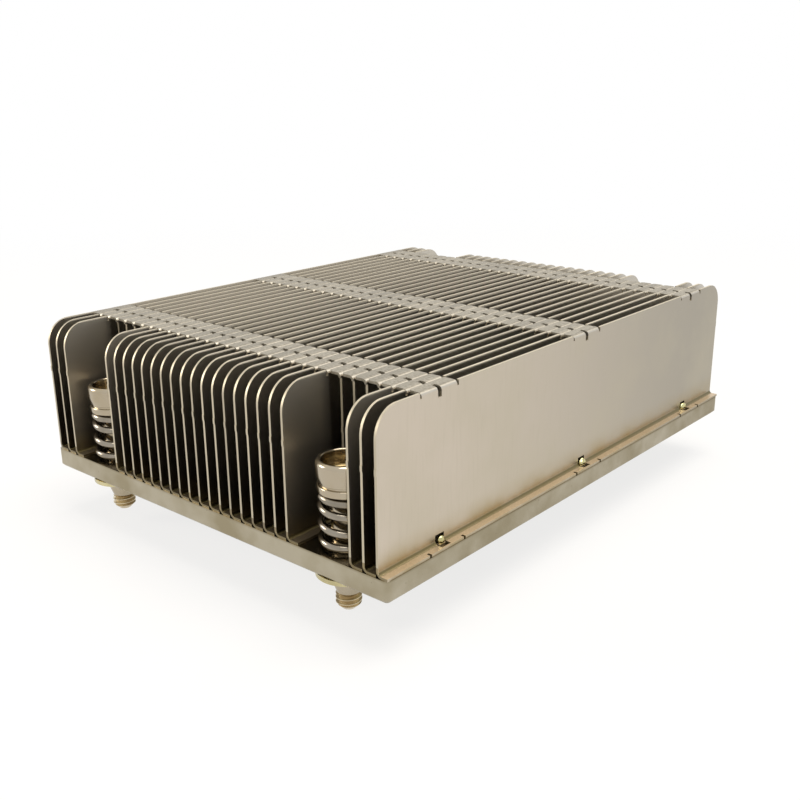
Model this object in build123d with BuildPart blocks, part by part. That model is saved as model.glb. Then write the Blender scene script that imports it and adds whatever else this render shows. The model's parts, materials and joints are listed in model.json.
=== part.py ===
from build123d import *
import os

# Passive server heatsink: a flat base plate, a stack of folded sheet fins soldered on it
# and four captive spring screws. Millimetres, +Z up, +X across the fins, +Y along them.
# The origin is the middle of the base plate's underside.

# Screw pattern of the processor socket
screw_spacing_x = 56.0
screw_spacing_y = 94.0

# Base plate, which reaches past the screws by these margins
base_side_margin = 12.0
base_end_margin = 5.0
base_thickness = 3.5
base_corner_radius = 1.0
base_edge_chamfer = 0.5

# Fin stack
stack_height = 27.2
fin_pitch = 2.49
sheet = 0.4
stack_margin = 0.73
fin_setback = 0.13
fin_corner_radius = 4.2
fold_gap = 0.08
last_foot_minimum = 1.5
last_foot_inset = 0.1

# Die mark on the two upright edges of a fin
nub_drop = 8.6
nub_length = 0.9
nub_proud = 0.08

# Foot of a fin, folded to the right, and its interlocks
foot_bend_radius = 0.6
foot_slot_height = 1.8
foot_slot_margin = 0.7
foot_notch_width = 0.45
foot_notch_depth = 0.6
tongue_width = 1.4
tongue_reach = 0.6
tongue_clearance = 0.3

# Top tabs of a fin, folded to the left in three bands along the stack
tab_width = 7.75
tab_overhang = 0.275
tab_bend_radius = 0.3
tab_corner_radius = 0.6
relief_width = 0.35
relief_depth = 0.8
tab_slot_width = 0.8
tab_slot_depth = 1.5
tab_slot_reach = 1.0

# Captive screws, from the thread at the tip up to the cup head
thread_radius = 2.0
thread_length = 2.9
tip_chamfer = 1.0
neck_height = 0.9
shoulder_step = 0.25
shoulder_below_clip = 1.9
hole_clearance = 0.2
collar_height = 0.65
collar_groove = 0.25
collar_groove_depth = 0.35
head_overhang = 0.1
head_wall = 0.85
head_cup_height = 3.85
head_rim_chamfer = 0.55
cup_depth = 2.6
drive_span = 4.4
drive_width = 1.1
drive_depth = 1.5
well_side_clearance = 0.6
well_back_clearance = 0.35

# Springs, around the screws' shoulders
spring_length = 8.6
spring_clearance = 0.7
wire_diameter = 1.2
end_coil_gap = 0.05
active_coils = 2
seat_gap = 0.05

# Retaining clips, in a groove of each shoulder
clip_window = 1.05
clip_band = 1.5
clip_thickness = 0.7
clip_lug_width = 1.6
clip_mouth = 4.2
clip_heading = 100.0
clip_groove_depth = 0.6
clip_gap = 0.05

# Worked out from the sizes above
base_width = screw_spacing_x + 2 * base_side_margin
base_length = screw_spacing_y + 2 * base_end_margin
base_top = base_thickness
shoulder_radius = thread_radius + shoulder_step
spring_radius = shoulder_radius + spring_clearance + wire_diameter
end_coil_pitch = wire_diameter + end_coil_gap
collar_radius = spring_radius
collar_groove_radius = collar_radius - collar_groove_depth
head_radius = collar_radius + head_overhang
cup_radius = head_radius - head_wall
fin_half_length = base_length / 2 - fin_setback
well_half_length = screw_spacing_y / 2 - head_radius - well_back_clearance
first_wall = stack_margin - base_width / 2
fin_count = int((base_width - stack_margin - last_foot_minimum) / fin_pitch) + 1
last_wall = first_wall + (fin_count - 1) * fin_pitch
last_foot = min(fin_pitch - fold_gap, base_width / 2 - last_foot_inset - last_wall)
band_spacing = well_half_length + tab_overhang - tab_width / 2
bands = (-band_spacing, 0.0, band_spacing)
foot_slot_width = tongue_width + 2 * tongue_clearance
nub_height = stack_height - nub_drop
head_bottom = base_top + spring_length + seat_gap
head_base = head_bottom + collar_height + collar_groove
head_top = head_base + head_cup_height
clip_top = -clip_gap
clip_bottom = clip_top - clip_thickness
clip_window_radius = shoulder_radius + clip_window
clip_radius = clip_window_radius + clip_band
clip_groove_radius = shoulder_radius - clip_groove_depth
groove_top = clip_top + clip_gap
groove_bottom = clip_bottom - clip_gap
shoulder_end = groove_bottom - shoulder_below_clip
thread_start = shoulder_end - neck_height
tip_end = thread_start - thread_length
screw_places = {
    "front_left": (-screw_spacing_x / 2, -screw_spacing_y / 2),
    "front_right": (screw_spacing_x / 2, -screw_spacing_y / 2),
    "rear_left": (-screw_spacing_x / 2, screw_spacing_y / 2),
    "rear_right": (screw_spacing_x / 2, screw_spacing_y / 2),
}

os.makedirs("parts", exist_ok=True)


def write_piece(piece, name):
    """Labels one finished piece and writes it as its own STEP file."""
    piece.label = name
    export_step(piece, f"parts/{name}.step")


def beside_a_screw(wall_middle):
    """True where a fin's wall would stand in the way of a screw's head or its driver."""
    reach = head_radius + sheet / 2 + well_side_clearance
    return any(abs(wall_middle - x) < reach for x, y in screw_places.values())


def build_fin(short, first, last):
    """One folded fin whose wall has its left face at x = 0.

    A short fin stops at the screw wells, the first fin has no neighbour on its left for its
    tabs, and the last fin's foot is trimmed at the base plate's edge.
    """
    half_length = well_half_length if short else fin_half_length
    middle = sheet / 2
    foot_tip = last_foot if last else fin_pitch - fold_gap
    foot_middle = base_top + sheet / 2
    tab_tip = sheet + fold_gap - fin_pitch
    tab_middle = stack_height - sheet / 2
    relief_bottom = stack_height - relief_depth

    with BuildPart() as fin:
        # Wall and foot, one sheet bent along its bottom edge
        with BuildSketch(Plane.XZ):
            with BuildLine():
                FilletPolyline(
                    (middle, stack_height),
                    (middle, foot_middle),
                    (foot_tip, foot_middle),
                    radius=foot_bend_radius + sheet / 2,
                )
            trace(line_width=sheet)
        extrude(amount=half_length, both=True)
        if not short:
            top_corners = fin.edges().filter_by(Axis.X).group_by(Axis.Z)[-1]
            fillet(top_corners, radius=fin_corner_radius)

        # Die marks on the front and rear edges
        with Locations(*[(middle, end, nub_height) for end in (-half_length, half_length)]):
            Box(sheet, 2 * nub_proud, nub_length)

        # Slots through the bend, for the tongues of the fin before
        slot_reach = sheet + max(foot_bend_radius, tongue_reach) + foot_slot_margin
        slot_middle = base_top + foot_slot_height / 2
        with Locations(*[(slot_reach / 2, band, slot_middle) for band in bands]):
            Box(slot_reach, foot_slot_width, foot_slot_height, mode=Mode.SUBTRACT)

        # Notches in the foot's free edge, in line with the ends of the tabs
        notch_middle = foot_tip - foot_notch_depth / 2
        notch_ends = [band + side for band in bands for side in (-tab_width / 2, tab_width / 2)]
        with Locations(*[(notch_middle, end, foot_middle) for end in notch_ends]):
            Box(foot_notch_depth, foot_notch_width, sheet, mode=Mode.SUBTRACT)

        # Tongues that pass through the slots of the next fin
        if not last:
            tongue_length = fold_gap + sheet + tongue_reach
            tongue_middle = foot_tip + tongue_length / 2
            with Locations(*[(tongue_middle, band, foot_middle) for band in bands]):
                Box(tongue_length, tongue_width, sheet)

        # Tabs along the top edge, each between two relief cuts and with a slot in its middle
        if not first:
            relief_middle = stack_height - relief_depth / 2
            with Locations(*[(middle, band, relief_middle) for band in bands]):
                Box(sheet, tab_width + 2 * relief_width, relief_depth, mode=Mode.SUBTRACT)
            for band in bands:
                with BuildSketch(Plane.XZ.offset(-band)):
                    with BuildLine():
                        FilletPolyline(
                            (middle, relief_bottom),
                            (middle, tab_middle),
                            (tab_tip, tab_middle),
                            radius=tab_bend_radius + sheet / 2,
                        )
                    trace(line_width=sheet)
                extrude(amount=tab_width / 2, both=True)
            tab_slot_middle = ((sheet - tab_slot_reach) / 2, stack_height - tab_slot_depth / 2)
            with Locations(*[(tab_slot_middle[0], band, tab_slot_middle[1]) for band in bands]):
                Box(sheet + tab_slot_reach, tab_slot_width, tab_slot_depth, mode=Mode.SUBTRACT)
            tip_corners = fin.edges().filter_by(Axis.Z).group_by(Axis.X)[0]
            fillet(tip_corners, radius=tab_corner_radius)
    return fin.part


def build_screw(x, y):
    """One captive screw: cup head with a cross recess, shoulder, clip groove and tip."""
    axis_plane = Plane(origin=(x, y, 0), x_dir=(1, 0, 0), z_dir=(0, -1, 0))
    cup_floor = head_top - cup_depth
    rim_start = head_top - head_rim_chamfer
    with BuildPart() as screw:
        with BuildSketch(axis_plane):
            with BuildLine():
                Polyline(
                    (0, cup_floor),
                    (cup_radius, cup_floor),
                    (cup_radius, head_top),
                    (head_radius - head_rim_chamfer, head_top),
                    (head_radius, rim_start),
                    (head_radius, head_base),
                    (collar_groove_radius, head_base),
                    (collar_groove_radius, head_bottom + collar_height),
                    (collar_radius, head_bottom + collar_height),
                    (collar_radius, head_bottom),
                    (shoulder_radius, head_bottom),
                    (shoulder_radius, groove_top),
                    (clip_groove_radius, groove_top),
                    (clip_groove_radius, groove_bottom),
                    (shoulder_radius, groove_bottom),
                    (shoulder_radius, shoulder_end),
                    (thread_radius, thread_start),
                    (thread_radius, tip_end + tip_chamfer),
                    (thread_radius - tip_chamfer, tip_end),
                    (0, tip_end),
                    close=True,
                )
            make_face()
        revolve(axis=Axis((x, y, 0), (0, 0, 1)))
        with Locations((x, y, cup_floor - drive_depth / 2)):
            Box(drive_span, drive_width, drive_depth, mode=Mode.SUBTRACT)
            Box(drive_width, drive_span, drive_depth, mode=Mode.SUBTRACT)
    return screw.part


def build_spring(x, y):
    """One left-hand compression spring with a closed coil at each end."""
    coil_radius = spring_radius - wire_diameter / 2
    start = base_top + wire_diameter / 2
    rise = spring_length - wire_diameter
    active_rise = rise - 2 * end_coil_pitch
    active_pitch = active_rise / active_coils
    active_start = start + end_coil_pitch
    with BuildPart() as spring:
        with BuildLine() as coil:
            Helix(end_coil_pitch, end_coil_pitch, coil_radius, center=(x, y, start), lefthand=True)
            Helix(active_pitch, active_rise, coil_radius, center=(x, y, active_start), lefthand=True)
            Helix(
                end_coil_pitch,
                end_coil_pitch,
                coil_radius,
                center=(x, y, active_start + active_rise),
                lefthand=True,
            )
        with BuildSketch(Plane(origin=coil.line @ 0, z_dir=coil.line % 0)):
            Circle(wire_diameter / 2)
        sweep(path=coil.line, is_frenet=True, transition=Transition.TRANSFORMED)
    return spring.part


def build_clip(x, y):
    """One flat retaining clip, open on one side, with three lugs in the screw's groove."""
    lug_start = clip_groove_radius + clip_gap
    lug_length = clip_radius - clip_band / 2 - lug_start
    lug_middle = lug_start + lug_length / 2
    lug_angles = [clip_heading + turn for turn in (90, 180, 270)]
    with BuildPart() as clip:
        with BuildSketch(Plane(origin=(x, y, clip_bottom))):
            Circle(clip_radius)
            Circle(clip_window_radius, mode=Mode.SUBTRACT)
            for angle in lug_angles:
                with PolarLocations(lug_middle, 1, start_angle=angle):
                    Rectangle(lug_length, clip_lug_width)
            with PolarLocations(clip_radius, 1, start_angle=clip_heading):
                Rectangle(clip_radius, clip_mouth, mode=Mode.SUBTRACT)
        extrude(amount=clip_thickness)
    return clip.part


# Base plate with its four screw holes
with BuildPart() as base_plate:
    with Locations((0, 0, base_thickness / 2)):
        Box(base_width, base_length, base_thickness)
    fillet(base_plate.edges().filter_by(Axis.Z), radius=base_corner_radius)
    chamfer(base_plate.edges().group_by(Axis.Z)[0], length=base_edge_chamfer)
    with Locations(*[(x, y, base_thickness) for x, y in screw_places.values()]):
        Hole(radius=shoulder_radius + hole_clearance)
write_piece(base_plate.part, "base_plate")

# Fins, from left to right, each kind modelled once and copied to its place
fin_kinds = {}
for fin_number in range(1, fin_count + 1):
    wall_left = first_wall + (fin_number - 1) * fin_pitch
    kind = (beside_a_screw(wall_left + sheet / 2), fin_number == 1, fin_number == fin_count)
    if kind not in fin_kinds:
        fin_kinds[kind] = build_fin(*kind)
    with BuildPart() as fin_copy:
        with Locations((wall_left, 0, 0)):
            add(fin_kinds[kind])
    write_piece(fin_copy.part, f"fin_{fin_number:02d}")

# Screws, springs and clips at the four corners
for corner, (screw_x, screw_y) in screw_places.items():
    write_piece(build_screw(screw_x, screw_y), f"captive_screw_{corner}")
    write_piece(build_spring(screw_x, screw_y), f"screw_spring_{corner}")
    write_piece(build_clip(screw_x, screw_y), f"retaining_clip_{corner}")
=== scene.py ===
"""Dresses a passive server heatsink: plated sheet fins on a milled base, with four captive spring screws.

Sizes in the classes are millimetres, and MM turns them to metres where a mesh or a material is made.
The frame's own nodes keep the fins, the base plate and the clips. Screws, springs and solder beads
are modelled here.
"""

from __future__ import annotations

import json
import logging
import math
from dataclasses import dataclass
from enum import Enum
from typing import Callable, Iterable, Union

import bmesh
import bpy
from bpy.types import Material, Node, NodeSocket, NodeTree, Object
from mathutils import Matrix, Vector

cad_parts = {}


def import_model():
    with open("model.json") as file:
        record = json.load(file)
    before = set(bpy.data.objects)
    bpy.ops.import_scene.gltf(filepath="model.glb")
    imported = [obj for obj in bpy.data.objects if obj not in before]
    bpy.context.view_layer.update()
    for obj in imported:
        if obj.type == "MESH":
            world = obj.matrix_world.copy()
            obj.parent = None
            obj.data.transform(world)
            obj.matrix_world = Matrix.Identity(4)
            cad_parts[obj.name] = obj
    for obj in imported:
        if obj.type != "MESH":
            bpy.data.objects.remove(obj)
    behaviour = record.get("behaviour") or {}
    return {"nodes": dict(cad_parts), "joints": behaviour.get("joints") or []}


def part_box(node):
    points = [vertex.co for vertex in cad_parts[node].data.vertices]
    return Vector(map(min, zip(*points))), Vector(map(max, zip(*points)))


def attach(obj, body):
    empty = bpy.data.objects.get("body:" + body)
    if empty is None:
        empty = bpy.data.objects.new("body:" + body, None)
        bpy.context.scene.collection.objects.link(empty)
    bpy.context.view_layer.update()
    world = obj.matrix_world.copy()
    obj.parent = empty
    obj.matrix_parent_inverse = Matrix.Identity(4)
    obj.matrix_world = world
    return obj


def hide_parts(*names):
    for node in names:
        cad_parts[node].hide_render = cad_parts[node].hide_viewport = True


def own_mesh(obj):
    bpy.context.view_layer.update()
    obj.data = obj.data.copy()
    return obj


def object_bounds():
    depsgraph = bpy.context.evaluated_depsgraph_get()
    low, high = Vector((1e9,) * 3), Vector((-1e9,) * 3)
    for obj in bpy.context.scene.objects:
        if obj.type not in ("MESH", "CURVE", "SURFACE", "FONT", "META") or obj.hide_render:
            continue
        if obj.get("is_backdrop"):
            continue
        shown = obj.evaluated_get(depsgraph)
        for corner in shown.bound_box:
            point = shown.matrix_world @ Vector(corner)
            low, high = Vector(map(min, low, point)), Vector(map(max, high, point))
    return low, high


log = logging.getLogger("heatsink")

MM = 0.001
ROOT_BODY = "heatsink"
WHITE = "#ffffff"

# Two places closer than this, in millimetres, count as one
NEAR = 0.01

# Detail of the noise textures, in octaves
PLAIN_NOISE = 2.0
CLOUDY_NOISE = 3.0
RICH_NOISE = 4.0

# A wave texture of scale one has a ring for each of these lengths
WAVE_LENGTH = 2 * math.pi / 20

Ring = tuple[float, float]
Span = tuple[float, float]
Spot = tuple[float, float, float]
NodeInput = Union[float, str, tuple, NodeSocket, Node, None]
Layer = tuple[Node, NodeInput]


class Corner(Enum):
    """The four corners of the base plate, each with its own screw, spring and clip."""

    FRONT_LEFT = "front_left"
    FRONT_RIGHT = "front_right"
    REAR_LEFT = "rear_left"
    REAR_RIGHT = "rear_right"


class Combine(Enum):
    """How a second mesh changes a piece."""

    CUT = "DIFFERENCE"
    ADD = "UNION"
    KEEP_INSIDE = "INTERSECT"


# Small helpers for colours and nodes


def linear(hex_colour: str) -> tuple[float, float, float, float]:
    """Turns an sRGB hex colour to linear light.

    Args:
        hex_colour: A colour such as "#c8b89a".

    Returns:
        Red, green, blue and an alpha of one.
    """
    channels = [int(hex_colour[i : i + 2], 16) / 255 for i in (1, 3, 5)]
    light = [c / 12.92 if c <= 0.04045 else ((c + 0.055) / 1.055) ** 2.4 for c in channels]
    return (light[0], light[1], light[2], 1.0)


def per_size(millimetres: float) -> float:
    """Texture scale on Object coordinates that gives one cell per this many millimetres."""
    return 1 / (millimetres * MM)


def main_output(node: Node) -> NodeSocket:
    """The first output that a node's settings leave in use."""
    return next(output for output in node.outputs if output.enabled)


def add_node(tree: NodeTree, kind: str, *values: NodeInput, **settings: object) -> Node:
    """Adds one node with its settings, and fills or links its inputs in their order.

    Args:
        tree: The node tree to add to.
        kind: Blender's name of the node, after ShaderNode.
        values: For each input in use: a number, a vector, a hex colour, a socket, a node for its main
            output, or None to leave it.
        settings: Properties of the node itself.

    Returns:
        The new node.
    """
    node = tree.nodes.new(f"ShaderNode{kind}")
    for name, setting in settings.items():
        setattr(node, name, setting)
    in_use = [socket for socket in node.inputs if socket.enabled]
    for socket, value in zip(in_use, values):
        if isinstance(value, Node):
            value = main_output(value)
        if isinstance(value, NodeSocket):
            tree.links.new(value, socket)
        elif value is not None:
            socket.default_value = linear(value) if isinstance(value, str) else value
    return node


# Small helpers for modelling


def deselect() -> None:
    """Goes to object mode with nothing selected."""
    if bpy.context.object and bpy.context.object.mode != "OBJECT":
        bpy.ops.object.mode_set(mode="OBJECT")
    bpy.ops.object.select_all(action="DESELECT")


def take(piece: Object) -> None:
    """Makes one piece the only selected and active object.

    Args:
        piece: The piece to work on.
    """
    deselect()
    piece.select_set(True)
    bpy.context.view_layer.objects.active = piece


def edit_all() -> None:
    """Goes to edit mode on the active piece, with its whole mesh selected."""
    bpy.ops.object.mode_set(mode="EDIT")
    bpy.ops.mesh.select_all(action="SELECT")


def close_mesh() -> None:
    """In edit mode, fills what is open in a mesh and turns its faces outwards."""
    bpy.ops.mesh.select_all(action="SELECT")
    bpy.ops.mesh.fill_holes(sides=0)
    bpy.ops.mesh.normals_make_consistent(inside=False)


def new_piece(name: str) -> Object:
    """Names the primitive that was just added and puts its place into its mesh.

    Args:
        name: Name of the object and of its mesh.

    Returns:
        The piece, whose object sits at the origin.
    """
    piece = bpy.context.object
    piece.name = name
    piece.data.name = name
    bpy.ops.object.transform_apply(location=True, rotation=True, scale=True)
    return piece


def choose_edges(piece: Object, test: Callable[[Vector], bool]) -> None:
    """In edit mode, selects the edges whose two ends both pass a test.

    Args:
        piece: The piece that is being edited.
        test: Says of a place in millimetres whether it is wanted.
    """
    bpy.ops.mesh.select_mode(type="EDGE")
    bpy.ops.mesh.select_all(action="DESELECT")
    mesh = bmesh.from_edit_mesh(piece.data)
    for edge in mesh.edges:
        edge.select_set(all(test(end.co / MM) for end in edge.verts))
    bmesh.update_edit_mesh(piece.data)


def turn_outline(name: str, outline: Iterable[Ring], segments: int) -> Object:
    """Models a turned piece from a disc, extruded and scaled from one ring of its outline to the next.

    Args:
        name: The piece's name.
        outline: Radius and height of each ring, from the first end face to the last.
        segments: Sides of the disc.

    Returns:
        The closed piece, about the Z axis, in edit mode.
    """
    rings = list(outline)
    radius, height = rings[0]
    deselect()
    bpy.ops.mesh.primitive_circle_add(
        vertices=segments, radius=radius * MM, fill_type="NGON", location=(0, 0, height * MM)
    )
    piece = new_piece(name)
    edit_all()
    for (old_radius, old_height), (radius, height) in zip(rings, rings[1:]):
        rise = (0, 0, (height - old_height) * MM)
        widen = radius / old_radius
        bpy.ops.mesh.extrude_region_move(TRANSFORM_OT_translate={"value": rise})
        bpy.ops.transform.resize(value=(widen, widen, 1), center_override=(0, 0, height * MM))
    close_mesh()
    return piece


def round_ring(piece: Object, ring: Ring, width: float, steps: int) -> None:
    """In edit mode, rounds the circular edge that lies at one radius and height.

    Args:
        piece: The turned piece.
        ring: Radius and height of the edge.
        width: Width of the rounding.
        steps: Facets of the rounding.
    """
    radius, height = ring
    choose_edges(piece, lambda at: abs(at.xy.length - radius) < NEAR and abs(at.z - height) < NEAR)
    bpy.ops.mesh.bevel(offset=width * MM, segments=steps, affect="EDGES")


def combine(piece: Object, other: Object, how: Combine) -> None:
    """Cuts away, adds or keeps the inside of another mesh, which is then removed.

    Args:
        piece: The piece that changes.
        other: The mesh that changes it.
        how: What is done with the two.
    """
    take(piece)
    change = piece.modifiers.new(how.name.lower(), "BOOLEAN")
    change.object = other
    change.operation = how.value
    change.solver = "EXACT"
    bpy.ops.object.modifier_apply(modifier=change.name)
    bpy.data.objects.remove(other)


def smooth(piece: Object, degrees: float = 35) -> None:
    """Shades a piece smooth, with edges sharper than the given angle kept."""
    take(piece)
    bpy.ops.object.shade_smooth_by_angle(angle=math.radians(degrees))


def place_copy(master: Object, name: str, place: Vector, turn: float) -> Object:
    """Copies a master piece with a mesh of its own, turned about Z and moved inside the mesh.

    Args:
        master: The piece modelled about the Z axis.
        name: Name of the copy.
        place: Where the axis stands, in metres.
        turn: Turn about the axis in degrees.

    Returns:
        The copy, whose object sits at the origin.
    """
    copy = master.copy()
    copy.data = master.data.copy()
    copy.name = name
    copy.data.name = name
    bpy.context.scene.collection.objects.link(copy)
    spot = Matrix.Translation((place.x, place.y, 0))
    copy.data.transform(spot @ Matrix.Rotation(math.radians(turn), 4, "Z"))
    return copy


# Finishes


@dataclass(frozen=True)
class Finish:
    """What all the metals share: a name, a tone and how sharply they mirror."""

    name: str
    tone: str
    roughness: float

    def material(self) -> Material:
        """Makes the metal and links what varies over its surface.

        Returns:
            The material.
        """
        material = bpy.data.materials.new(self.name)
        material.use_nodes = True
        material.diffuse_color = linear(self.tone)
        tree = material.node_tree
        shader = tree.nodes["Principled BSDF"]
        shader.inputs["Base Color"].default_value = linear(self.tone)
        shader.inputs["Metallic"].default_value = 1.0
        shader.inputs["Roughness"].default_value = self.roughness
        for name, node in self.surface(tree).items():
            tree.links.new(main_output(node), shader.inputs[name])
        return material

    def surface(self, tree: NodeTree) -> dict[str, Node]:
        """What varies over the surface, by the name of the shader's input: nothing on a plain metal."""
        return {}


@dataclass(frozen=True)
class SheetZones:
    """Where a point of a fin lies. The nodes from outside on are shares from nought to one."""

    here: NodeSocket
    x: NodeSocket
    y: NodeSocket
    z: NodeSocket
    facing: Node
    cloud: Node
    outside: Node
    well: Node
    rim: Node
    foot: Node
    edge: Node
    tab: Node


@dataclass(frozen=True, kw_only=True)
class NickelSheet(Finish):
    """Satin nickel plate on rolled aluminium sheet.

    The two outer walls mirror softly, in clouds, and darken towards the rear with painted shade. Inside
    the stack the sheet is a cleaner mirror, darkened towards the foot with painted shade and lightened at
    the top rim with painted light. Sheared edges are brighter, the folded tabs are dulled and speckled by
    the press, flux has browned the sheet near its foot, and painted shade darkens the inner ledges and the
    bend.
    """

    base_top: float
    name: str = "satin_nickel_on_rolled_sheet"

    # Tones
    tone: str = "#c9beae"
    # Painted shade: the outer walls darken towards the rear in this tone
    rear_shade_tone: str = "#a29b8d"
    cloud_tone: str = "#bbb39d"
    streak_tone: str = "#aaa18c"
    inner_tone: str = "#c2bcb0"
    # Painted shade deep between the fins, darkest towards the foot
    inner_shade_tone: str = "#6f675a"
    # Painted light: a lighter band along the top of the inner walls
    rim_light_tone: str = "#d0c9ba"
    edge_tone: str = "#bcb39e"
    tab_tone: str = "#9c9688"
    tab_fleck_tone: str = "#807a6c"
    flux_tone: str = "#a3926a"
    ledge_tone: str = "#cbb596"
    # Painted shade on the ledges deep between the fins
    inner_ledge_shade_tone: str = "#5a4f3f"
    foot_edge_tone: str = "#6f6446"
    # Painted shade in the crease where the wall bends into the foot
    bend_shade_tone: str = "#655a36"

    # Gloss, and how far flux and the rim at the top take the metal back
    roughness: float = 0.36
    satin_swing: float = 0.03
    inner_roughness: float = 0.3
    well_roughness: float = 0.42
    rim_roughness: float = 0.6
    edge_roughness: float = 0.5
    tab_roughness: float = 0.48
    rim_metal: float = 0.55
    flux_dryness: float = 0.45

    # Places of the zones
    first_face: float = -39.2
    last_face: float = 38.25
    half_length: float = 51.9
    fin_pitch: float = 2.49
    first_cell: float = 1.01
    ledge_top: float = 4.1
    bend_top: float = 5.0
    flux_top: float = 8.5
    # Height up to which the painted shade on the inner walls reaches
    painted_depth_shade_top: float = 25.0
    rim_left: float = 26.2
    rim_right: float = 26.98
    rim_top: float = 27.08
    tab_bottom: float = 26.4
    band_spacing: float = 38.8
    band_half: float = 4.1
    well_depth: float = 42.5
    well_centre: float = 27.4
    well_half: float = 6.6

    # Sizes of the patterns, with the grain drawn coarser than it is, so that it shows
    cloud_size: float = 14.0
    patch_size: float = 5.0
    streak_width: float = 0.45
    streak_stretch: float = 0.08
    fleck_size: float = 0.4
    grain_size: float = 0.16
    grain_depth: float = 0.02
    grain_strength: float = 0.12
    wave_depth: float = 0.5
    wave_strength: float = 0.08

    # The part of a pattern's range that shows, and how strongly
    satin_span: Span = (0.3, 0.7)
    cloud_span: Span = (0.4, 0.66)
    cloud_share: float = 0.45
    streak_span: Span = (0.52, 0.85)
    streak_share: float = 0.18
    patch_span: Span = (0.35, 0.65)
    patch_shares: Span = (0.25, 0.8)
    fleck_span: Span = (0.35, 0.65)
    narrow_span: Span = (0.35, 0.75)
    bend_span: Span = (0.08, 0.35)
    bend_share: float = 0.85
    foot_share: float = 0.8
    ledge_slope: float = 0.5
    batch_tones: Span = (0.84, 1.08)

    def surface(self, tree: NodeTree) -> dict[str, Node]:
        """Colour, gloss, metal and relief of the sheet, all from the same zones.

        Args:
            tree: The material's node tree.

        Returns:
            Nodes by the name of the shader's input.
        """
        zones = self.zones(tree)
        smoother, rougher = self.roughness - self.satin_swing, self.roughness + self.satin_swing
        satin = add_node(tree, "MapRange", zones.cloud, *self.satin_span, smoother, rougher)
        gloss = self.inner_roughness
        for share, over in (
            (zones.well, self.well_roughness),
            (zones.rim, self.rim_roughness),
            (zones.outside, satin),
            (zones.edge, self.edge_roughness),
            (zones.tab, self.tab_roughness),
        ):
            gloss = add_node(tree, "Mix", share, gloss, over)

        # Dried flux on the foot is no metal, and the rim at the top scatters like something in between
        dry = add_node(tree, "Math", zones.foot, -self.flux_dryness, 1.0, operation="MULTIPLY_ADD")
        torn = add_node(tree, "Mix", zones.rim, dry, self.rim_metal)
        metal = add_node(tree, "Mix", zones.outside, torn, dry)

        # Fine grain, and the slow waves of a sheet that isn't quite flat
        waves = add_node(tree, "Bump", self.wave_strength, self.wave_depth * MM, None, zones.cloud)
        grain = add_node(tree, "TexNoise", zones.here, per_size(self.grain_size), PLAIN_NOISE)
        relief = add_node(tree, "Bump", self.grain_strength, self.grain_depth * MM, None, grain, waves)
        colour = self.colour(tree, zones)
        return {"Base Color": colour, "Roughness": gloss, "Metallic": metal, "Normal": relief}

    def zones(self, tree: NodeTree) -> SheetZones:
        """Finds a point's zones from its place and from the way that the surface faces there.

        Args:
            tree: The material's node tree.

        Returns:
            The zones.
        """
        coords = add_node(tree, "TexCoord")
        here = coords.outputs["Object"]
        x, y, z = add_node(tree, "SeparateXYZ", here).outputs
        facing = add_node(tree, "SeparateXYZ", coords.outputs["Normal"])
        across = add_node(tree, "Math", x, operation="ABSOLUTE")
        along = add_node(tree, "Math", y, operation="ABSOLUTE")

        # The stack's two outer walls, and what isn't a broad side of any wall
        right = add_node(tree, "Math", x, self.last_face * MM, operation="GREATER_THAN")
        left = add_node(tree, "Math", x, self.first_face * MM, operation="LESS_THAN")
        outside = add_node(tree, "Math", right, left, operation="MAXIMUM")
        sideways = add_node(tree, "Math", facing.outputs["X"], operation="ABSOLUTE")
        narrow = add_node(tree, "MapRange", sideways, *self.narrow_span, 1.0, 0.0)

        # Walls around the screws, where hands and tools reach
        beyond = add_node(tree, "Math", along, self.well_depth * MM, operation="GREATER_THAN")
        beside = add_node(
            tree, "Math", across, self.well_centre * MM, self.well_half * MM, operation="COMPARE"
        )
        well = add_node(tree, "Math", beyond, beside, operation="MULTIPLY")

        # The rim at the top, lightened with painted light, is wider towards the left, and narrow beyond the
        # outer tabs
        ends = (self.first_face * MM, self.last_face * MM)
        low = add_node(tree, "MapRange", x, *ends, self.rim_left * MM, self.rim_right * MM)
        rim_start = add_node(tree, "Mix", beyond, low, self.rim_right * MM)
        rim = add_node(tree, "MapRange", z, rim_start, self.rim_top * MM, interpolation_type="SMOOTHSTEP")

        # Three bands of tabs along the top, the sheared edges between them, and the foot
        from_outer = add_node(tree, "Math", along, self.band_spacing * MM, operation="SUBTRACT")
        outer_gap = add_node(tree, "Math", from_outer, operation="ABSOLUTE")
        band_gap = add_node(tree, "Math", along, outer_gap, operation="MINIMUM")
        in_band = add_node(tree, "Math", band_gap, self.band_half * MM, operation="LESS_THAN")
        at_top = add_node(tree, "Math", z, self.tab_bottom * MM, operation="GREATER_THAN")
        folded = add_node(tree, "Math", in_band, at_top, operation="MULTIPLY")
        upper = add_node(tree, "Math", z, self.bend_top * MM, operation="GREATER_THAN")
        plain = add_node(tree, "Math", upper, folded, operation="SUBTRACT")
        at_foot = add_node(tree, "Math", z, self.ledge_top * MM, operation="LESS_THAN")
        foot, edge, tab = (
            add_node(tree, "Math", part, narrow, operation="MULTIPLY") for part in (at_foot, plain, folded)
        )
        cloud = add_node(tree, "TexNoise", here, per_size(self.cloud_size), CLOUDY_NOISE)
        return SheetZones(here, x, y, z, facing, cloud, outside, well, rim, foot, edge, tab)

    def colour(self, tree: NodeTree, zones: SheetZones) -> Node:
        """Lays the colours over one another, from the walls to the foot, the edges and the tabs.

        Args:
            tree: The material's node tree.
            zones: The sheet's zones.

        Returns:
            The colour's node.
        """
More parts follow.
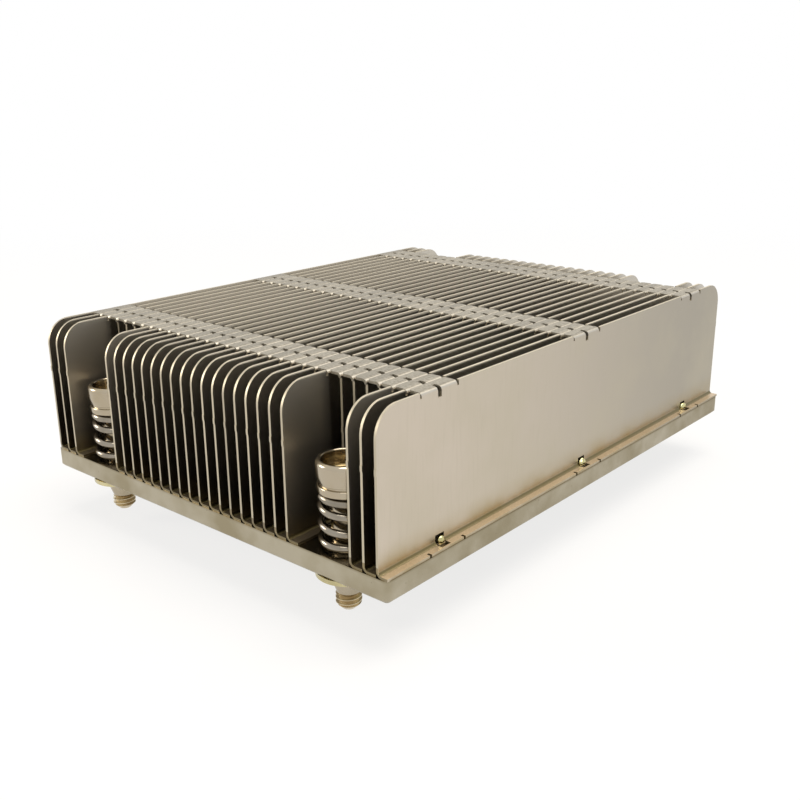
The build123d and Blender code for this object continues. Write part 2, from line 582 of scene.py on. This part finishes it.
        # An outer wall, darkened along the sheet towards the rear by painted shade, with clouds and faint
        # roll lines
        ends = (-self.half_length * MM, self.half_length * MM)
        painted_rear_shade = add_node(tree, "MapRange", zones.y, *ends, interpolation_type="SMOOTHSTEP")
        clouds = add_node(tree, "MapRange", zones.cloud, *self.cloud_span, 0.0, self.cloud_share)
        upright = add_node(tree, "Mapping", zones.here, None, None, (1.0, 1.0, self.streak_stretch))
        streak = add_node(tree, "TexNoise", upright, per_size(self.streak_width), PLAIN_NOISE)
        streaks = add_node(tree, "MapRange", streak, *self.streak_span, 0.0, self.streak_share)
        wall = self.tone
        for share, tone in ((painted_rear_shade, self.rear_shade_tone), (clouds, self.cloud_tone), (streaks, self.streak_tone)):
            wall = add_node(tree, "Mix", share, wall, tone, data_type="RGBA")

        # The inner walls, darkened towards the foot by painted shade deep between the fins, and all that
        # covers them
        painted_depth_shade = add_node(tree, "MapRange", zones.z, self.base_top * MM, self.painted_depth_shade_top * MM)
        colour = add_node(tree, "Mix", painted_depth_shade, self.inner_shade_tone, self.inner_tone, data_type="RGBA")
        layers = [
            # Painted light along the top rim of the inner walls
            (zones.rim, self.rim_light_tone),
            (zones.outside, wall),
            *self.foot_layers(tree, zones),
            *self.press_layers(tree, zones),
        ]
        for share, over in layers:
            colour = add_node(tree, "Mix", share, colour, over, data_type="RGBA")
        return colour

    def foot_layers(self, tree: NodeTree, zones: SheetZones) -> list[Layer]:
        """Colours near the foot: patchy flux, then the ledge with its edge, darkened between the fins with
        painted shade, then the bend, darkened with painted shade in its crease.

        Args:
            tree: The material's node tree.
            zones: The sheet's zones.

        Returns:
            Shares and colours, in the order in which they are laid.
        """
        patch = add_node(tree, "TexNoise", zones.here, per_size(self.patch_size), PLAIN_NOISE)
        patchy = add_node(tree, "MapRange", patch, *self.patch_span, *self.patch_shares)
        heights = (self.base_top * MM, self.flux_top * MM)
        low = add_node(tree, "MapRange", zones.z, *heights, 1.0, 0.0, interpolation_type="SMOOTHSTEP")
        flux = add_node(tree, "Math", low, patchy, operation="MULTIPLY")

        facing_x, _, facing_z = zones.facing.outputs
        level = add_node(tree, "Math", facing_z, self.ledge_slope, operation="GREATER_THAN")
        # Painted shade: the ledges between the fins are dark, the outer ledge light
        ledge = add_node(tree, "Mix", zones.outside, self.inner_ledge_shade_tone, self.ledge_tone, data_type="RGBA")
        foot_colour = add_node(tree, "Mix", level, self.foot_edge_tone, ledge, data_type="RGBA")
        foot = add_node(tree, "Math", zones.foot, self.foot_share, operation="MULTIPLY")

        # Painted shade in the crease of the bend, near the foot
        turning = add_node(tree, "Math", facing_x, facing_z, operation="MULTIPLY")
        bent = add_node(tree, "MapRange", turning, *self.bend_span, 0.0, self.bend_share)
        near_foot = add_node(tree, "Math", zones.z, self.bend_top * MM, operation="LESS_THAN")
        bend = add_node(tree, "Math", bent, near_foot, operation="MULTIPLY")
        return [(flux, self.flux_tone), (foot, foot_colour), (bend, self.bend_shade_tone)]

    def press_layers(self, tree: NodeTree, zones: SheetZones) -> list[Layer]:
        """Colours that the press left, bright edges and speckled tabs, a little different on each fin.

        Args:
            tree: The material's node tree.
            zones: The sheet's zones.

        Returns:
            Shares and colours, in the order in which they are laid.
        """
        cells = (per_size(self.fin_pitch), self.first_cell)
        count = add_node(tree, "Math", zones.x, *cells, operation="MULTIPLY_ADD")
        fin = add_node(tree, "Math", count, operation="FLOOR")
        luck = add_node(tree, "TexWhiteNoise", fin, noise_dimensions="1D")
        batch = add_node(tree, "MapRange", luck, 0.0, 1.0, *self.batch_tones)
        sheared = add_node(tree, "VectorMath", linear(self.edge_tone)[:3], batch, operation="SCALE")
        fleck = add_node(tree, "TexNoise", zones.here, per_size(self.fleck_size), PLAIN_NOISE)
        flecks = add_node(tree, "MapRange", fleck, *self.fleck_span)
        speckled = add_node(tree, "Mix", flecks, self.tab_tone, self.tab_fleck_tone, data_type="RGBA")
        tab_colour = add_node(tree, "VectorMath", speckled, batch, operation="SCALE")
        return [(zones.edge, sheared), (zones.tab, tab_colour)]


@dataclass(frozen=True, kw_only=True)
class MilledPlate(Finish):
    """Satin nickel plate on a milled aluminium plate.

    Its sides are dull, clouded and finely pitted, flux has browned its top between the fins, and its
    underside keeps the arcs of the fly cutter.
    """

    top: float
    name: str = "satin_nickel_on_milled_plate"
    tone: str = "#aea692"
    cloud_tone: str = "#988e75"
    pit_tone: str = "#6f6754"
    seam_tone: str = "#877d64"
    flux_tone: str = "#968c78"
    roughness: float = 0.42
    smoother: float = 0.05
    rougher: float = 0.06
    top_roughness: float = 0.16
    cloud_size: float = 7.0
    seam_height: float = 0.35
    pit_spacing: float = 1.3
    pit_radius: float = 0.11
    pit_core: float = 0.4
    pits_missing: float = 0.55
    grain_size: float = 0.22
    cutter_step: float = 5.655
    cutter_centre: Spot = (-90.0, 30.0, 0.0)
    relief_depth: float = 0.03
    relief_strength: float = 0.3
    satin_span: Span = (0.3, 0.7)
    cloud_span: Span = (0.35, 0.65)
    upper_span: Span = (0.6, 0.95)
    under_span: Span = (-0.95, -0.8)
    seam_share: float = 0.85
    flux_share: float = 0.8

    def surface(self, tree: NodeTree) -> dict[str, Node]:
        """Colour, gloss and relief of the plate.

        Args:
            tree: The material's node tree.

        Returns:
            Nodes by the name of the shader's input.
        """
        coords = add_node(tree, "TexCoord")
        here = coords.outputs["Object"]
        height = add_node(tree, "SeparateXYZ", here).outputs["Z"]
        facing = add_node(tree, "SeparateXYZ", coords.outputs["Normal"]).outputs["Z"]
        cloud = add_node(tree, "TexNoise", here, per_size(self.cloud_size), RICH_NOISE)
        film = add_node(tree, "MapRange", facing, *self.upper_span, 0.0, self.flux_share)

        # Scattered pits, of which only some are deep enough to show
        cells = add_node(tree, "TexVoronoi", here, per_size(self.pit_spacing))
        reach = self.pit_radius / self.pit_spacing
        pit = add_node(tree, "MapRange", cells, self.pit_core * reach, reach, 1.0, 0.0)
        chance = add_node(tree, "SeparateColor", cells.outputs["Color"])
        shown = add_node(tree, "Math", chance, self.pits_missing, operation="GREATER_THAN")
        pits = add_node(tree, "Math", pit, shown, operation="MULTIPLY")

        # Clouds, pits, a darker band at the top of the sides that also covers the upper face, and the flux
        # film on the upper face
        clouds = add_node(tree, "MapRange", cloud, *self.cloud_span)
        seam_bottom = (self.top - self.seam_height) * MM
        seam = add_node(tree, "MapRange", height, seam_bottom, self.top * MM, 0.0, self.seam_share)
        colour = self.tone
        for share, tone in (
            (clouds, self.cloud_tone),
            (pits, self.pit_tone),
            (seam, self.seam_tone),
            (film, self.flux_tone),
        ):
            colour = add_node(tree, "Mix", share, colour, tone, data_type="RGBA")

        swing = (self.roughness - self.smoother, self.roughness + self.rougher)
        satin = add_node(tree, "MapRange", cloud, *self.satin_span, *swing)
        gloss = add_node(tree, "Mix", film, satin, self.top_roughness)

        # Pits sunk into a fine grain, over the cutter's arcs, which are on the underside only
        centred = add_node(tree, "Mapping", here, tuple(-c * MM for c in self.cutter_centre))
        scale = WAVE_LENGTH * per_size(self.cutter_step)
        arcs = add_node(tree, "TexWave", centred, scale, wave_type="RINGS", rings_direction="Z")
        under = add_node(tree, "MapRange", facing, *self.under_span, 1.0, 0.0)
        cut = add_node(tree, "Math", arcs.outputs["Fac"], under, operation="MULTIPLY")
        grain = add_node(tree, "TexNoise", here, per_size(self.grain_size), CLOUDY_NOISE)
        sunk = add_node(tree, "Math", pits, -1.0, grain, operation="MULTIPLY_ADD")
        depth = (self.relief_strength, self.relief_depth * MM, None)
        milled = add_node(tree, "Bump", *depth, cut)
        relief = add_node(tree, "Bump", *depth, sunk, milled)
        return {"Base Color": colour, "Roughness": gloss, "Normal": relief}


@dataclass(frozen=True)
class BrightMetal(Finish):
    """A bright plated or drawn metal: a near mirror with a faint tarnish in patches and fine tool lines.

    The tool lines are drawn coarser than they are, so that they show.
    """

    tarnish_tone: str = "#a89a7e"
    tarnish_share: float = 0.5
    tarnish_span: Span = (0.4, 0.7)
    patch_size: float = 2.5
    gloss_span: Span = (0.3, 0.7)
    gloss_factors: Span = (0.8, 1.4)
    line_width: float = 0.22
    line_stretch: Spot = (0.05, 0.05, 1.0)
    line_depth: float = 0.006
    line_strength: float = 0.25

    def surface(self, tree: NodeTree) -> dict[str, Node]:
        """Colour, gloss and relief of the metal.

        Args:
            tree: The material's node tree.

        Returns:
            Nodes by the name of the shader's input.
        """
        here = add_node(tree, "TexCoord").outputs["Object"]
        patch = add_node(tree, "TexNoise", here, per_size(self.patch_size), CLOUDY_NOISE)
        tarnish = add_node(tree, "MapRange", patch, *self.tarnish_span, 0.0, self.tarnish_share)
        roughnesses = [self.roughness * factor for factor in self.gloss_factors]

        # Tool lines run round the axis, so they repeat along Z
        stacked = add_node(tree, "Mapping", here, None, None, self.line_stretch)
        lines = add_node(tree, "TexNoise", stacked, per_size(self.line_width), PLAIN_NOISE)
        return {
            "Base Color": add_node(tree, "Mix", tarnish, self.tone, self.tarnish_tone, data_type="RGBA"),
            "Roughness": add_node(tree, "MapRange", patch, *self.gloss_span, *roughnesses),
            "Normal": add_node(tree, "Bump", self.line_strength, self.line_depth * MM, None, lines),
        }


TURNED_HEAD = BrightMetal("bright_nickel_on_turned_steel", "#b0a591", 0.15)
# Painted shade and a painted brown reflection darken the inside of the cup
SHADED_DRIVER_CUP = BrightMetal("nickel_in_driver_cup_with_painted_shade", "#93835f", 0.22, tarnish_tone="#5f4f34")
CUT_THREAD = BrightMetal("oiled_nickel_on_cut_thread", "#d0c2a4", 0.24, tarnish_tone="#977f5c")
DRAWN_WIRE = BrightMetal("bright_nickel_on_drawn_wire", "#978f82", 0.17, tarnish_tone="#716a5c")
YELLOW_ZINC = BrightMetal("pale_yellow_zinc_on_spring_steel", "#cfc59c", 0.2, tarnish_tone="#8f8458")
WETTED_TIN = BrightMetal("flux_glazed_tin_solder", "#cbc594", 0.14, tarnish_tone="#857c46", patch_size=0.8)


# The object's sub-assemblies


@dataclass
class FramePieces:
    """Pieces whose solids come from the frame, found by the start of their names."""

    nodes: dict[str, Object]
    prefix: str
    edge_round: float = 0.0
    round_steps: int = 3
    sharp_degrees: float = 40.0

    def dress(self, finish: Finish) -> None:
        """Gives every piece one material in place of its own, and softens its edges if they have a rounding.

        Args:
            finish: The metal.
        """
        material = finish.material()
        names = [name for name in sorted(self.nodes) if name.startswith(self.prefix)]
        for name in names:
            piece = self.nodes[name]
            piece.data.materials.clear()
            piece.data.materials.append(material)
            if self.edge_round:
                rounding = piece.modifiers.new("soft_edges", "BEVEL")
                rounding.width = self.edge_round * MM
                rounding.segments = self.round_steps
                rounding.limit_method = "ANGLE"
                rounding.angle_limit = math.radians(self.sharp_degrees)
                rounding.harden_normals = True
        log.info("dressed %s in %s", ", ".join(names), finish.name)


@dataclass
class FinStack(FramePieces):
    """The folded fins, whose sheared edges stay sharp."""

    prefix: str = "fin_"


@dataclass
class BasePlate(FramePieces):
    """The plate under the fins."""

    prefix: str = "base_plate"
    edge_round: float = 0.18


@dataclass
class RetainingClips(FramePieces):
    """The flat clips under the base."""

    prefix: str = "retaining_clip_"
    edge_round: float = 0.2


@dataclass
class CaptiveScrews:
    """Four screws with a cup head, a cross recess, a clip groove and a cut thread."""

    tip: float
    top: float
    segments: int = 80

    # Thread
    core_radius: float = 1.5
    thread_radius: float = 1.95
    thread_pitch: float = 0.72
    thread_top: float = -3.75
    thread_steps: int = 48
    spare_turns: int = 2
    crest_width: float = 0.14
    tip_chamfer: float = 0.95
    runout: float = 0.4
    clear: float = 0.04

    # Shoulder with the clip's groove
    neck_end_radius: float = 1.8
    shoulder_radius: float = 2.25
    shoulder_end: float = -2.5
    groove_radius: float = 1.65
    groove_bottom: float = -0.8
    groove_top: float = 0.0

    # Head
    collar_radius: float = 4.15
    collar_bottom: float = 12.15
    collar_top: float = 13.25
    neck_radius: float = 3.8
    head_radius: float = 4.25
    head_bottom: float = 13.55
    head_taper: float = 0.3
    head_taper_height: float = 1.3
    cup_radius: float = 3.4
    cup_depth: float = 2.6
    rim_round: float = 0.58
    lip_round: float = 0.22
    edge_round: float = 0.2
    foot_round: float = 0.1
    floor_round: float = 0.5

    # Cross recess, with the cutter's reach above the cup's floor
    drive_span: float = 4.4
    drive_width: float = 1.1
    drive_depth: float = 1.5
    drive_taper: float = 0.55
    drive_lead: float = 0.2

    # How each screw is turned at rest, in degrees
    turns: tuple[float, ...] = (24.0, 63.0, 41.0, 8.0)

    def build(self) -> Object:
        """Models one screw about the Z axis, at its real height.

        Returns:
            The master screw.
        """
        cup_floor = self.top - self.cup_depth
        foot = (self.head_radius - self.head_taper, self.head_bottom)
        screw = turn_outline(
            "screw_master",
            [
                (self.neck_end_radius, self.thread_top),
                (self.shoulder_radius, self.shoulder_end),
                (self.shoulder_radius, self.groove_bottom),
                (self.groove_radius, self.groove_bottom),
                (self.groove_radius, self.groove_top),
                (self.shoulder_radius, self.groove_top),
                (self.shoulder_radius, self.collar_bottom),
                (self.collar_radius, self.collar_bottom),
                (self.collar_radius, self.collar_top),
                (self.neck_radius, self.collar_top),
                (self.neck_radius, self.head_bottom),
                foot,
                (self.head_radius, self.head_bottom + self.head_taper_height),
                (self.head_radius, self.top),
                (self.cup_radius, self.top),
                (self.cup_radius, cup_floor),
            ],
            self.segments,
        )
        for ring, width, steps in (
            ((self.head_radius, self.top), self.rim_round, 6),
            ((self.cup_radius, self.top), self.lip_round, 4),
            ((self.cup_radius, cup_floor), self.floor_round, 5),
            (foot, self.foot_round, 4),
            ((self.collar_radius, self.collar_bottom), self.edge_round, 4),
            ((self.collar_radius, self.collar_top), self.edge_round, 4),
        ):
            round_ring(screw, ring, width, steps)
        for turn in (0, 90):
            combine(screw, self.recess_bar(cup_floor, turn), Combine.CUT)
        combine(screw, self.thread(), Combine.ADD)
        smooth(screw)
        return screw

    def recess_bar(self, cup_floor: float, turn: float) -> Object:
        """Models one tapered bar of the cross recess, as a cutter.

        Args:
            cup_floor: Height of the face that the recess is sunk into.
            turn: Turn of the bar about the axis in degrees.

        Returns:
            The cutter, in edit mode.
        """
        deselect()
        bottom = cup_floor - self.drive_depth
        middle = cup_floor + self.drive_lead / 2 - self.drive_depth / 2
        bpy.ops.mesh.primitive_cube_add(size=1, location=(0, 0, middle * MM))
        bar = bpy.context.object
        height = self.drive_depth + self.drive_lead
        bar.scale = (self.drive_span * MM, self.drive_width * MM, height * MM)
        bar.rotation_euler.z = math.radians(turn)
        bar = new_piece("recess_bar")
        bpy.ops.object.mode_set(mode="EDIT")
        choose_edges(bar, lambda place: place.z < bottom + NEAR)
        bpy.ops.transform.resize(
            value=(self.drive_taper, self.drive_taper, 1), center_override=(0, 0, bottom * MM)
        )
        return bar

    def thread(self) -> Object:
        """Models the threaded end as one swept profile, trimmed to a chamfered tip and a run-out.

        Returns:
            The closed rod, whose plain top reaches into the neck.
        """
        deselect()
        start = self.tip - self.spare_turns * self.thread_pitch
        middle = (self.core_radius + self.thread_radius) / 2
        bpy.ops.mesh.primitive_plane_add(
            size=1, location=(middle * MM, 0, start * MM), rotation=(math.pi / 2, 0, 0)
        )
        rod = bpy.context.object
        rod.scale = ((self.thread_radius - self.core_radius) * MM, self.thread_pitch * MM, 1)
        rod = new_piece("thread_rod")
        bpy.ops.object.mode_set(mode="EDIT")
        choose_edges(rod, lambda place: place.x > middle)
        squeeze = self.crest_width / self.thread_pitch
        bpy.ops.transform.resize(
            value=(1, 1, squeeze), center_override=(self.thread_radius * MM, 0, start * MM)
        )
        choose_edges(rod, lambda place: place.x < middle)
        bpy.ops.mesh.delete(type="EDGE")
        bpy.ops.object.mode_set(mode="OBJECT")

        turns = math.ceil((self.thread_top - self.tip) / self.thread_pitch)
        sweep = rod.modifiers.new("thread", "SCREW")
        sweep.axis = "Z"
        sweep.angle = 2 * math.pi
        sweep.screw_offset = self.thread_pitch * MM
        sweep.iterations = turns + 2 * self.spare_turns
        sweep.steps = self.thread_steps
        sweep.render_steps = self.thread_steps
        bpy.ops.object.modifier_apply(modifier=sweep.name)
        edit_all()
        bpy.ops.mesh.remove_doubles(threshold=NEAR * MM)
        close_mesh()

        outside = self.thread_radius + self.clear
        plain = self.core_radius - self.clear
        envelope = turn_outline(
            "thread_envelope",
            [
                (outside - self.tip_chamfer, self.tip),
                (outside, self.tip + self.tip_chamfer),
                (outside, self.thread_top - self.runout),
                (plain, self.thread_top),
                (plain, self.thread_top + self.runout),
            ],
            self.segments,
        )
        combine(rod, envelope, Combine.KEEP_INSIDE)
        return rod

    def dress(self, master: Object) -> None:
        """Gives the master its three finishes: bright outside, a cup darkened and browned with painted shade
        and a painted reflection, and oiled thread.

        Args:
            master: The screw to dress.
        """
        for finish in (TURNED_HEAD, SHADED_DRIVER_CUP, CUT_THREAD):
            master.data.materials.append(finish.material())
        for face in master.data.polygons:
            place = face.center / MM
            if place.z > self.collar_top and place.xy.length < self.cup_radius - NEAR:
                face.material_index = 1
            elif place.z < self.thread_top:
                face.material_index = 2

    def install(self, master: Object) -> None:
        """Copies the master to the four corners, each turned as it came to rest.

        Args:
            master: The dressed screw, which is then removed.
        """
        for corner, turn in zip(Corner, self.turns):
            node = f"captive_screw_{corner.value}"
            low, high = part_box(node)
            copy = place_copy(master, f"screw_{corner.value}", (low + high) / 2, turn)
            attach(copy, f"screw_{corner.value}")
            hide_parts(node)
            log.info("screw at %s: %d faces", corner.value, len(copy.data.polygons))
        bpy.data.objects.remove(master)


@dataclass
class ScrewSprings:
    """Four left-hand compression springs with closed ends."""

    bottom: float
    top: float
    travel: float
    coil_radius: float = 3.55
    wire_radius: float = 0.6
    wire_sides: int = 20
    turns: float = 3.47
    end_turns: float = 0.6
    end_blend: float = 0.15
    end_pitch: float = 1.25
    steps_per_turn: int = 40
    phases: tuple[float, ...] = (60.0, 52.0, 35.0, 80.0)

    def build(self) -> Object:
        """Models one spring about the Z axis by sweeping the wire's section step by step.

        With no window, spin turns clockwise for a positive angle, which winds the coil left-handed.

        Returns:
            The master spring.
        """
        deselect()
        start = self.bottom + self.wire_radius
        bpy.ops.mesh.primitive_circle_add(
            vertices=self.wire_sides,
            radius=self.wire_radius * MM,
            location=(self.coil_radius * MM, 0, start * MM),
            rotation=(math.pi / 2, 0, 0),
        )
        spring = new_piece("spring_master")
        edit_all()
        step = 2 * math.pi / self.steps_per_turn
        for rise in self.rises():
            bpy.ops.mesh.spin(steps=1, angle=step, center=(0, 0, 0), axis=(0, 0, 1))
            bpy.ops.transform.translate(value=(0, 0, rise * MM))
        close_mesh()
        smooth(spring, degrees=50)
        return spring

    def rises(self) -> list[float]:
        """How far the wire climbs in each step, slowly at the closed ends.

        Returns:
            One rise per step, which add up to the spring's height less one wire.
        """
        steps = round(self.turns * self.steps_per_turn)
        total = self.top - self.bottom - 2 * self.wire_radius
        ends = 2 * self.end_turns
        active_pitch = (total - ends * self.end_pitch) / (self.turns - ends)
        pitches = []
        for step in range(steps):
            turn = (step + 0.5) / self.steps_per_turn
            from_end = min(turn, self.turns - turn)
            blend = (from_end - self.end_turns + self.end_blend) / (2 * self.end_blend)
            blend = min(max(blend, 0.0), 1.0)
            pitches.append(self.end_pitch + (active_pitch - self.end_pitch) * blend)
        scale = total / sum(pitches)
        return [pitch * scale for pitch in pitches]

    def install(self, master: Object) -> None:
        """Dresses the master and copies it to the four corners.

        Args:
            master: The spring, which is then removed.
        """
        master.data.materials.append(DRAWN_WIRE.material())
        for corner, phase in zip(Corner, self.phases):
            node = f"screw_spring_{corner.value}"
            low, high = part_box(node)
            copy = place_copy(master, f"spring_{corner.value}", (low + high) / 2, phase)
            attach(copy, ROOT_BODY)
            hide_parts(node)
            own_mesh(copy)
            log.info("spring at %s: %d faces", corner.value, len(copy.data.polygons))
        bpy.data.objects.remove(master)


@dataclass
class SolderBeads:
    """Beads of solder on the tongues that pass through the outer fin's bottom slots."""

    floor: float
    wall: float = 38.32
    bands: tuple[float, ...] = (-38.8, 0.0, 38.8)
    half_lengths: tuple[float, ...] = (0.7, 1.05, 1.05)
    half_height: float = 0.75
    reach: float = 0.5
    stand_out: float = 0.15
    shift: float = 0.1
    lumps: float = 0.34
    smoothing: int = 5
    segments: int = 32
    ring_count: int = 18

    def build(self) -> None:
        """Models one lumpy bead for each slot, down to the base."""
        material = WETTED_TIN.material()
        for number, (band, half_length) in enumerate(zip(self.bands, self.half_lengths), start=1):
            deselect()
            middle = Vector((self.wall + self.stand_out, band + self.shift, self.floor + self.half_height))
            bpy.ops.mesh.primitive_uv_sphere_add(
                segments=self.segments, ring_count=self.ring_count, radius=1, location=middle * MM
            )
            bead = bpy.context.object
            bead.scale = (self.reach * MM, half_length * MM, self.half_height * MM)
            bead = new_piece(f"solder_bead_{number}")
            edit_all()
            bpy.ops.transform.vertex_random(offset=self.lumps * MM, seed=number)
            bpy.ops.mesh.vertices_smooth(factor=0.5, repeat=self.smoothing)
            smooth(bead, degrees=60)
            bead.data.materials.append(material)
            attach(bead, ROOT_BODY)
            log.info("solder bead %d: %d faces", number, len(bead.data.polygons))


# The studio


@dataclass(frozen=True)
class SoftBox:
    """A square soft box: its place, its side, its power in watts and the colour of its light."""

    name: str
    place: Spot
    size: float
    watts: float
    tone: str

    def hang(self) -> None:
        """Hangs the box so that it faces the object."""
        light = bpy.data.lights.new(self.name, "AREA")
        light.shape = "SQUARE"
        light.size = self.size * MM
        light.energy = self.watts
        light.color = linear(self.tone)[:3]
        box = bpy.data.objects.new(self.name, light)
        box.location = Vector(self.place) * MM
        box.rotation_euler = (-Vector(self.place)).to_track_quat("-Z", "Y").to_euler()
        bpy.context.scene.collection.objects.link(box)


@dataclass
class Studio:
    """A plain white sweep, soft boxes and the photograph's camera."""

    floor_height: float
    floor_size: float = 6000.0
    paper_tone: str = "#e6e4e0"
    air_tone: str = "#fffaf2"
    seen_white: float = 1.0
    near_whiteness: float = 0.78
    shadow_near: float = 60.0
    shadow_far: float = 420.0
    fill_light: float = 0.5
    lamps: tuple[SoftBox, ...] = (
        SoftBox("key", (-435.0, -340.0, 190.0), 200.0, 1.4, "#fff6ea"),
        SoftBox("overhead", (120.0, 60.0, 600.0), 500.0, 4.5, "#fffaf4"),
    )
    azimuth: float = 40.8138
    elevation: float = 18.0488
    roll: float = 0.5841
    camera_place: Spot = (117.239, -138.497, 66.707)
    focal_pixels: float = 983.0888
    image_pixels: float = 800.0
    sensor_width: float = 36.0
    nearest: float = 5.0

    def build(self) -> None:
        """Makes the floor, the world, the lamps and the camera."""
        bpy.context.scene.view_settings.view_transform = "Standard"
        self.floor()
        self.world()
        for lamp in self.lamps:
            lamp.hang()
        self.camera()

    def floor(self) -> None:
        """Makes a wide white floor that still takes the object's shadow."""
        deselect()
        bpy.ops.mesh.primitive_plane_add(size=self.floor_size * MM, location=(0, 0, self.floor_height * MM))
        floor = new_piece("studio_floor")
        material = bpy.data.materials.new("white_paper_sweep")
        material.use_nodes = True
        tree = material.node_tree
        tree.nodes.clear()
        paper = add_node(tree, "BsdfDiffuse", self.paper_tone)
        glow = add_node(tree, "Emission", WHITE, self.seen_white)
        here = add_node(tree, "TexCoord").outputs["Object"]
        away = add_node(tree, "VectorMath", here, operation="LENGTH")
        reach = (self.shadow_near * MM, self.shadow_far * MM)
        whiteness = add_node(
            tree, "MapRange", away, *reach, self.near_whiteness, 1.0, interpolation_type="SMOOTHSTEP"
        )
        share = add_node(tree, "Math", self.seen_rays(tree), whiteness, operation="MULTIPLY")
        mixed = add_node(tree, "MixShader", share, paper, glow)
        add_node(tree, "OutputMaterial", mixed)
        floor.data.materials.append(material)
        floor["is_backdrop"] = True

    def seen_rays(self, tree: NodeTree) -> Node:
        """One for the rays that show a background: from the camera, off metal and through glass.

        Args:
            tree: The node tree of the floor or the world.

        Returns:
            The node of the share.
        """
        rays = add_node(tree, "LightPath").outputs
        mirrored = add_node(tree, "Math", rays["Is Camera Ray"], rays["Is Glossy Ray"], operation="MAXIMUM")
        return add_node(tree, "Math", mirrored, rays["Is Transmission Ray"], operation="MAXIMUM")

    def world(self) -> None:
        """Makes a world that shows white and lights softly."""
        world = bpy.data.worlds.new("studio_air")
        bpy.context.scene.world = world
        world.use_nodes = True
        tree = world.node_tree
        tree.nodes.clear()
        soft = add_node(tree, "Background", self.air_tone, self.fill_light)
        white = add_node(tree, "Background", WHITE, self.seen_white)
        mixed = add_node(tree, "MixShader", self.seen_rays(tree), soft, white)
        add_node(tree, "OutputWorld", mixed)

    def camera(self) -> None:
        """Stands the camera where the photograph was taken from."""
        data = bpy.data.cameras.new("photo_camera")
        data.sensor_width = self.sensor_width
        data.lens = self.focal_pixels * self.sensor_width / self.image_pixels
        data.clip_start = self.nearest * MM
        camera = bpy.data.objects.new("photo_camera", data)
        stand = Matrix.Translation(Vector(self.camera_place) * MM)
        for degrees, axis in ((self.azimuth, "Z"), (90 - self.elevation, "X"), (-self.roll, "Z")):
            stand = stand @ Matrix.Rotation(math.radians(degrees), 4, axis)
        camera.matrix_world = stand
        bpy.context.scene.collection.objects.link(camera)
        bpy.context.scene.camera = camera


def main() -> None:
    """Loads the frame, builds and dresses every sub-assembly and sets up the studio."""
    logging.basicConfig(level=logging.INFO, format="%(message)s")
    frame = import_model()
    cad_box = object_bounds()
    nodes = frame["nodes"]
    plate_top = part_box("base_plate")[1].z / MM

    FinStack(nodes).dress(NickelSheet(base_top=plate_top))
    BasePlate(nodes).dress(MilledPlate(top=plate_top))
    RetainingClips(nodes).dress(YELLOW_ZINC)

    low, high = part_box("captive_screw_front_left")
    screws = CaptiveScrews(tip=low.z / MM, top=high.z / MM)
    master = screws.build()
    screws.dress(master)
    screws.install(master)

    low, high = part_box("screw_spring_front_left")
    press = next(joint for joint in frame["joints"] if joint["type"] == "slide")
    springs = ScrewSprings(bottom=low.z / MM, top=high.z / MM, travel=-press["range_m"][0] / MM)
    springs.install(springs.build())

    SolderBeads(floor=plate_top).build()

    # The floor lies lower by the screws' travel, so that a pressed screw stays above it
    Studio(floor_height=cad_box[0].z / MM - springs.travel).build()


if __name__ == "__main__":
    main()
